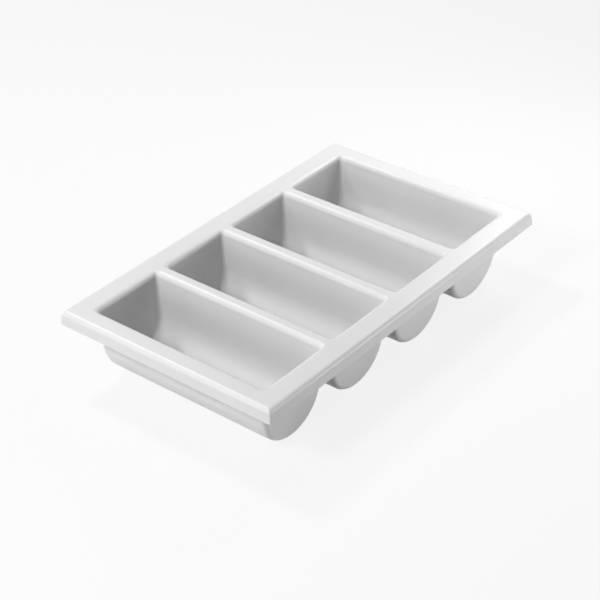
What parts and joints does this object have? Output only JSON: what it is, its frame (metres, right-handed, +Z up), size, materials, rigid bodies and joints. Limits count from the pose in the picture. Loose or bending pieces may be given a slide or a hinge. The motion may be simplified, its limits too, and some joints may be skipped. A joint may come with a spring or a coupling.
{
  "type": "cutlery tray",
  "caption": "Gastronorm cutlery tray: one plastic moulding with half-round compartments side by side, sunk from a flat rim with a turned-down skirt.",
  "frame": {"origin": "middle of the footprint, at the level of the table that the half-round bottoms rest on", "axes": "+X along the tray's long side, across the compartments; +Y along the compartments; +Z up"},
  "size_m": [0.53, 0.325, 0.1],
  "materials": {
    "moulding": "satin"
  },
  "bodies": {
    "root": {"compartment_1": "moulding", "compartment_2": "moulding", "compartment_3": "moulding", "compartment_4": "moulding", "divider_top_1": "moulding", "divider_top_2": "moulding", "divider_top_3": "moulding", "rim_frame": "moulding", "rim_skirt": "moulding"}
  },
  "joints": []
}
